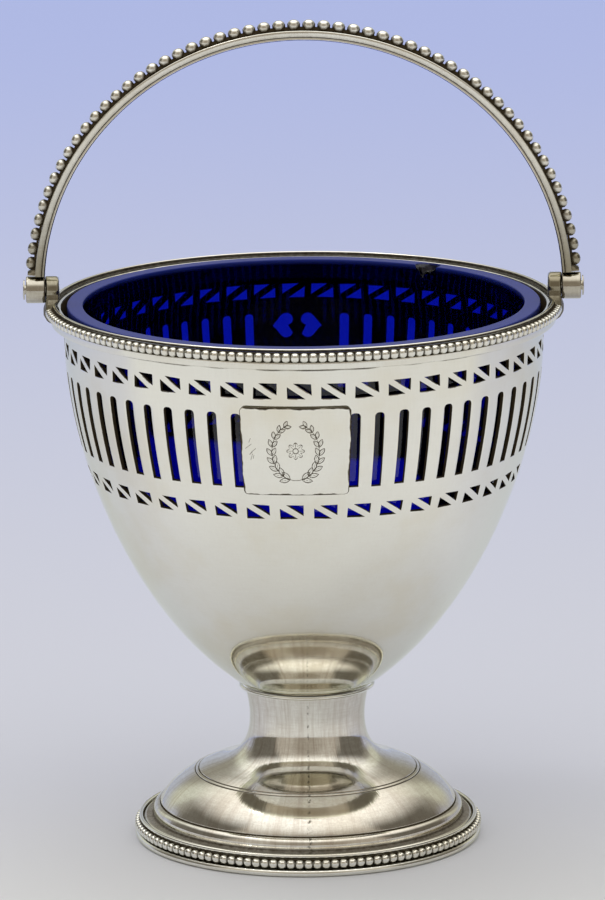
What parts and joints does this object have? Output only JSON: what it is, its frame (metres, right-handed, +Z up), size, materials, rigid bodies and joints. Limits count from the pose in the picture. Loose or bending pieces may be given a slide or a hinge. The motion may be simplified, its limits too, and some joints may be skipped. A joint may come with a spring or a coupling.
{
  "type": "sugar basket",
  "caption": "Pierced silver sugar basket: an urn bowl on a pedestal foot, with beaded rims, a beaded swing handle and a lift-out blue glass liner.",
  "frame": {"origin": "on the table, under the middle of the foot", "axes": "+Z up, the front plate faces -Y, the handle's pivots lie along X, the handle stands upright at rest"},
  "size_m": [0.1174, 0.1082, 0.1745],
  "materials": {
    "silver": "hand-polished old silver, soft gloss, fine scratches, dark tarnish in the recesses",
    "cobalt_glass": "clear cobalt-blue glass, ground and polished rim"
  },
  "bodies": {
    "basket": {"foot_base_wire": "silver", "foot_bead_wire": "silver", "foot_edge_wire": "silver", "foot_shell": "silver", "stem_collar": "silver", "bowl": "silver", "reserve_plate": "silver", "rim_under_wire": "silver", "rim_bead_wire": "silver", "rim_edge_wire": "silver", "lug_left": "silver", "lug_right": "silver", "hinge_pin_left": "silver", "hinge_pin_right": "silver"},
    "bail": {"bail_strap": "silver", "bail_bead_wire": "silver", "bail_barrel_left": "silver", "bail_barrel_right": "silver"},
    "liner": {"glass_liner": "cobalt_glass"}
  },
  "joints": [
    {"name": "bail_swing", "type": "hinge", "parent": "basket", "child": "bail", "pos_m": [0, 0, 0.11777], "axis": [1, 0, 0], "range_deg": [-90, 90]},
    {"name": "liner_lift", "type": "slide", "parent": "basket", "child": "liner", "axis": [0, 0, 1], "range_m": [0, 0.02]}
  ]
}
